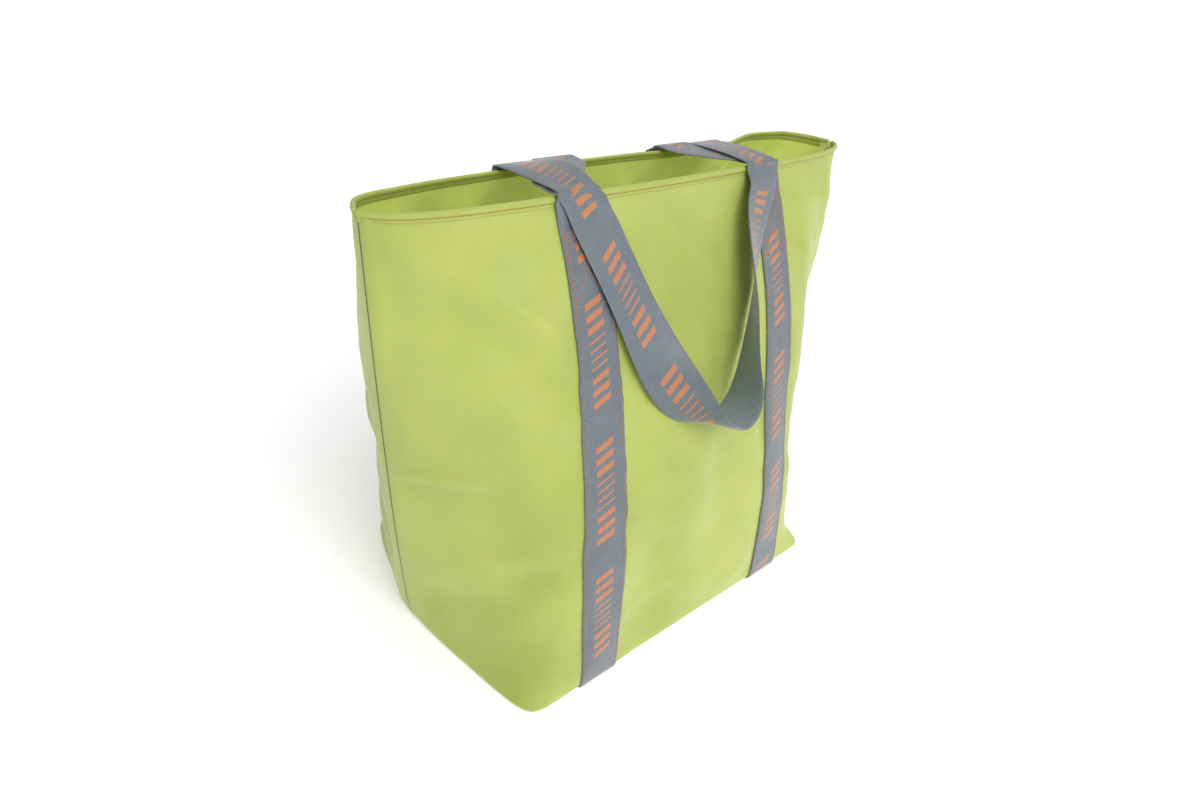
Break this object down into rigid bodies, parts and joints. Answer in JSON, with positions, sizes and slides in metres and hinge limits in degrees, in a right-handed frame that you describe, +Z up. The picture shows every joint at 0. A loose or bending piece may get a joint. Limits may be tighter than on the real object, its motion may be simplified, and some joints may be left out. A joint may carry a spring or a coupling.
{
  "type": "foldable tote bag",
  "caption": "Open fabric tote bag with a boxed base, full-length webbing straps and two long webbing handles draped over its mouth.",
  "frame": {"origin": "middle of the footprint, on the ground under the base straps", "axes": "+Z up, +X to the right along the mouth, front panel faces -Y"},
  "size_m": [0.513, 0.2748, 0.3631],
  "materials": {
    "bag_fabric": "smooth woven nylon with a soft sheen",
    "hem_fabric": "turned and bound woven nylon",
    "webbing": "twill webbing with a printed motif",
    "thread": "polyester sewing thread"
  },
  "bodies": {
    "bag_body": {"front_panel": "bag_fabric", "back_panel": "bag_fabric", "base_panel": "bag_fabric", "front_hem": "hem_fabric", "back_hem": "hem_fabric", "left_seam_binding": "hem_fabric", "right_seam_binding": "hem_fabric", "front_strap_left": "webbing", "front_strap_right": "webbing", "back_strap_left": "webbing", "back_strap_right": "webbing", "base_strap_left": "webbing", "base_strap_right": "webbing", "front_handle_leg_left": "webbing", "front_handle_leg_right": "webbing", "front_box_stitch_left": "thread", "front_box_stitch_right": "thread", "back_box_stitch_left": "thread", "back_box_stitch_right": "thread", "front_edge_stitch_left": "thread", "front_edge_stitch_right": "thread", "back_edge_stitch_left": "thread", "back_edge_stitch_right": "thread", "front_rim_stitch_left": "thread", "front_rim_stitch_middle": "thread", "front_rim_stitch_right": "thread", "back_rim_stitch_left": "thread", "back_rim_stitch_middle": "thread", "back_rim_stitch_right": "thread"},
    "back_handle_bridge": {"back_handle_leg_left": "webbing", "back_handle_leg_right": "webbing"},
    "back_handle_hanging": {"back_handle_loop": "webbing"},
    "front_handle_hanging": {"front_handle_loop": "webbing"}
  },
  "joints": [
    {"name": "back_handle_lift", "type": "hinge", "parent": "bag_body", "child": "back_handle_bridge", "pos_m": [0, 0.0405, 0.3565], "axis": [-1, 0, 0], "range_deg": [0, 105]},
    {"name": "back_handle_swing", "type": "hinge", "parent": "back_handle_bridge", "child": "back_handle_hanging", "pos_m": [0, -0.031, 0.3585], "axis": [-1, 0, 0], "range_deg": [0, 100]},
    {"name": "front_handle_swing", "type": "hinge", "parent": "bag_body", "child": "front_handle_hanging", "pos_m": [0, 0.0438, 0.3561], "axis": [1, 0, 0], "range_deg": [0, 75]}
  ]
}
